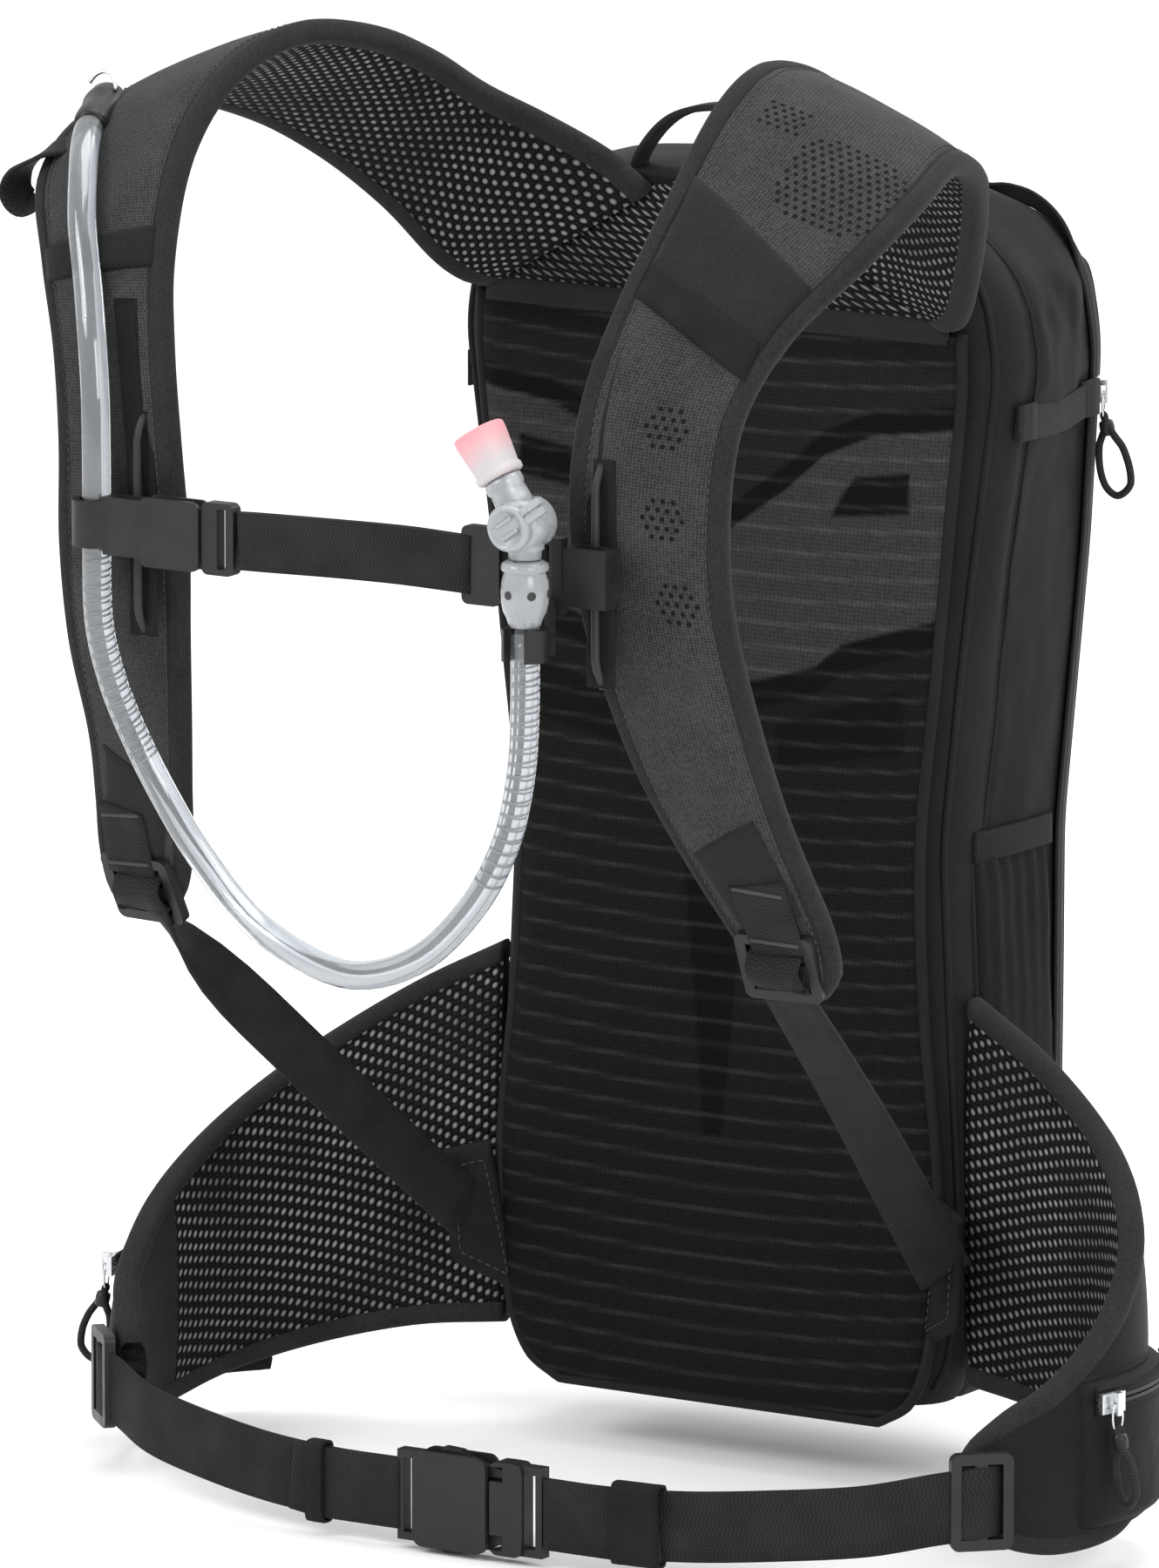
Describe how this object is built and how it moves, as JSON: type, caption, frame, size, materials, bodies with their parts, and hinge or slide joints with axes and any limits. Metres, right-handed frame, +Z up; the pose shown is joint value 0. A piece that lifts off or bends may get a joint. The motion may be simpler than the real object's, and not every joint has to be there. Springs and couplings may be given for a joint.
{
  "type": "hydration pack",
  "caption": "Slim zipped backpack with a drinking reservoir inside, padded shoulder harness, chest strap, hip belt with pockets, and a hose with a bite valve.",
  "frame": {"origin": "on the back panel's face, in the middle of the bag's foot", "axes": "+Z up as worn, -Y towards the wearer's back, +X to the wearer's left"},
  "size_m": [0.421, 0.3774, 0.5229],
  "materials": {
    "shell_cloth": "woven nylon, slightly shiny",
    "stretch_cloth": "stretch mesh",
    "strap_cloth": "knitted face with open mesh behind",
    "elastic_band": "elastic",
    "panel_mesh": "ridged knit",
    "lining": "thin nylon lining",
    "zip_tape": "coated zip tape",
    "webbing": "woven ribbon",
    "sheet_plastic": "sheet",
    "film": "soft film",
    "coloured_plastic": "moulded",
    "buckle_plastic": "fine moulded texture",
    "clear_tube": "clear flexible tube",
    "clear_plastic": "frosted clear",
    "soft_silicone": "soft silicone",
    "slider_metal": "plated",
    "cord_pull": "braided cord"
  },
  "bodies": {
    "pack": {"bag_body": "shell_cloth", "bag_cover": "shell_cloth", "main_zip": "zip_tape", "front_pocket": "shell_cloth", "front_zip": "zip_tape", "side_pockets": "stretch_cloth", "compression_straps": "webbing", "haul_loop": "webbing", "anchor_tabs": "webbing", "back_panel": "panel_mesh", "frame_sheet": "sheet_plastic", "divider_sleeve": "lining", "reservoir": "film", "reservoir_slide": "coloured_plastic", "reservoir_hook": "buckle_plastic", "hose_connector": "coloured_plastic", "yoke": "strap_cloth", "shoulder_strap_left": "strap_cloth", "shoulder_strap_right": "strap_cloth", "strap_bands": "elastic_band", "sternum_rails": "webbing", "strap_locks": "buckle_plastic", "adjuster_left": "webbing", "adjuster_right": "webbing", "hip_wing_left": "strap_cloth", "hip_wing_right": "strap_cloth", "hip_pockets": "strap_cloth", "hip_zips": "zip_tape", "belt_lock_left": "buckle_plastic", "belt_lock_right": "buckle_plastic", "belt_webbing_left": "webbing", "belt_webbing_right": "webbing", "belt_keepers": "webbing", "waist_socket": "buckle_plastic", "hose_clip": "buckle_plastic", "hose_port": "buckle_plastic", "hose": "clear_tube", "hose_collar": "clear_plastic"},
    "chest_strap": {"sternum_slider_left": "buckle_plastic", "sternum_slider_right": "buckle_plastic", "sternum_webbing": "webbing", "sternum_triglide": "buckle_plastic", "sternum_socket": "buckle_plastic"},
    "chest_plug": {"sternum_plug": "buckle_plastic"},
    "waist_plug": {"waist_plug": "buckle_plastic"},
    "prong_upper": {"waist_prong_upper": "buckle_plastic"},
    "prong_lower": {"waist_prong_lower": "buckle_plastic"},
    "valve": {"valve_body": "clear_plastic"},
    "lever": {"valve_lever": "clear_plastic"},
    "mouthpiece": {"bite_valve": "soft_silicone"},
    "main_slider_left": {"main_slider_left": "slider_metal"},
    "main_pull_left": {"main_pull_left": "cord_pull"},
    "main_slider_right": {"main_slider_right": "slider_metal"},
    "main_pull_right": {"main_pull_right": "cord_pull"},
    "front_slider": {"front_slider": "slider_metal"},
    "front_pull": {"front_pull": "cord_pull"},
    "hip_slider_left": {"hip_slider_left": "slider_metal"},
    "hip_pull_left": {"hip_pull_left": "cord_pull"},
    "hip_slider_right": {"hip_slider_right": "slider_metal"},
    "hip_pull_right": {"hip_pull_right": "cord_pull"}
  },
  "joints": [
    {"name": "chest_strap_height", "type": "slide", "parent": "pack", "child": "chest_strap", "axis": [0, 0, 1], "range_m": [-0.02, 0.02]},
    {"name": "chest_buckle", "type": "slide", "parent": "chest_strap", "child": "chest_plug", "axis": [1, 0, 0], "range_m": [0, 0.018], "deforming": ["sternum_webbing"]},
    {"name": "waist_buckle", "type": "slide", "parent": "pack", "child": "waist_plug", "axis": [1, 0, 0], "range_m": [0, 0.024], "deforming": ["belt_webbing_left"]},
    {"name": "squeeze_upper", "type": "hinge", "parent": "waist_plug", "child": "prong_upper", "pos_m": [0.015, -0.158, 0.0015], "axis": [0, -1, 0], "range_deg": [0, 7], "stiffness_Nm_per_rad": 0.06},
    {"name": "squeeze_lower", "type": "hinge", "parent": "waist_plug", "child": "prong_lower", "pos_m": [0.015, -0.158, -0.0225], "axis": [0, 1, 0], "range_deg": [0, 7], "stiffness_Nm_per_rad": 0.06},
    {"name": "valve_swivel", "type": "hinge", "parent": "pack", "child": "valve", "pos_m": [0.079, -0.248, 0.342], "axis": [0, 0, 1], "range_deg": [-20, 180]},
    {"name": "shutoff_lever", "type": "hinge", "parent": "valve", "child": "lever", "pos_m": [0.079, -0.248, 0.354], "axis": [0, 1, 0], "range_deg": [0, 90]},
    {"name": "mouthpiece_turn", "type": "hinge", "parent": "valve", "child": "mouthpiece", "pos_m": [0.06978, -0.248, 0.36876], "axis": [-0.5299, 0, 0.848], "range_deg": [-90, 90]},
    {"name": "main_zip_left", "type": "slide", "parent": "pack", "child": "main_slider_left", "axis": [-0.0489, -0.0479, -0.9977], "range_m": [0, 0.1]},
    {"name": "main_pull_left_swing", "type": "hinge", "parent": "main_slider_left", "child": "main_pull_left", "pos_m": [0.1042, 0.0929, 0.352], "axis": [0.342, -0.9397, 0], "range_deg": [0, 100]},
    {"name": "main_zip_right", "type": "slide", "parent": "pack", "child": "main_slider_right", "axis": [-0.0398, 0.0955, 0.9946], "range_m": [0, 0.1]},
    {"name": "main_pull_right_swing", "type": "hinge", "parent": "main_slider_right", "child": "main_pull_right", "pos_m": [-0.09739, 0.0833, 0.204], "axis": [0.342, 0.9397, 0], "range_deg": [0, 100]},
    {"name": "front_zip_run", "type": "slide", "parent": "pack", "child": "front_slider", "axis": [-1, 0, 0], "range_m": [0, 0.104]},
    {"name": "front_pull_swing", "type": "hinge", "parent": "front_slider", "child": "front_pull", "pos_m": [0.052, 0.116, 0.3025], "axis": [1, 0, 0], "range_deg": [0, 100]},
    {"name": "hip_zip_left", "type": "hinge", "parent": "pack", "child": "hip_slider_left", "pos_m": [0.138, -0.053, 0.033], "axis": [0, 0, 1], "range_deg": [0, 54]},
    {"name": "hip_pull_left_swing", "type": "hinge", "parent": "hip_slider_left", "child": "hip_pull_left", "pos_m": [0.20803, -0.07176, 0.033], "axis": [-0.2588, -0.9659, 0], "range_deg": [0, 100]},
    {"name": "hip_zip_right", "type": "hinge", "parent": "pack", "child": "hip_slider_right", "pos_m": [-0.138, -0.053, 0.033], "axis": [0, 0, -1], "range_deg": [0, 54]},
    {"name": "hip_pull_right_swing", "type": "hinge", "parent": "hip_slider_right", "child": "hip_pull_right", "pos_m": [-0.20803, -0.07176, 0.033], "axis": [-0.2588, 0.9659, 0], "range_deg": [0, 100]}
  ],
  "couplings": [
    {"joint": "squeeze_lower", "follows": "squeeze_upper", "ratio": 1}
  ]
}
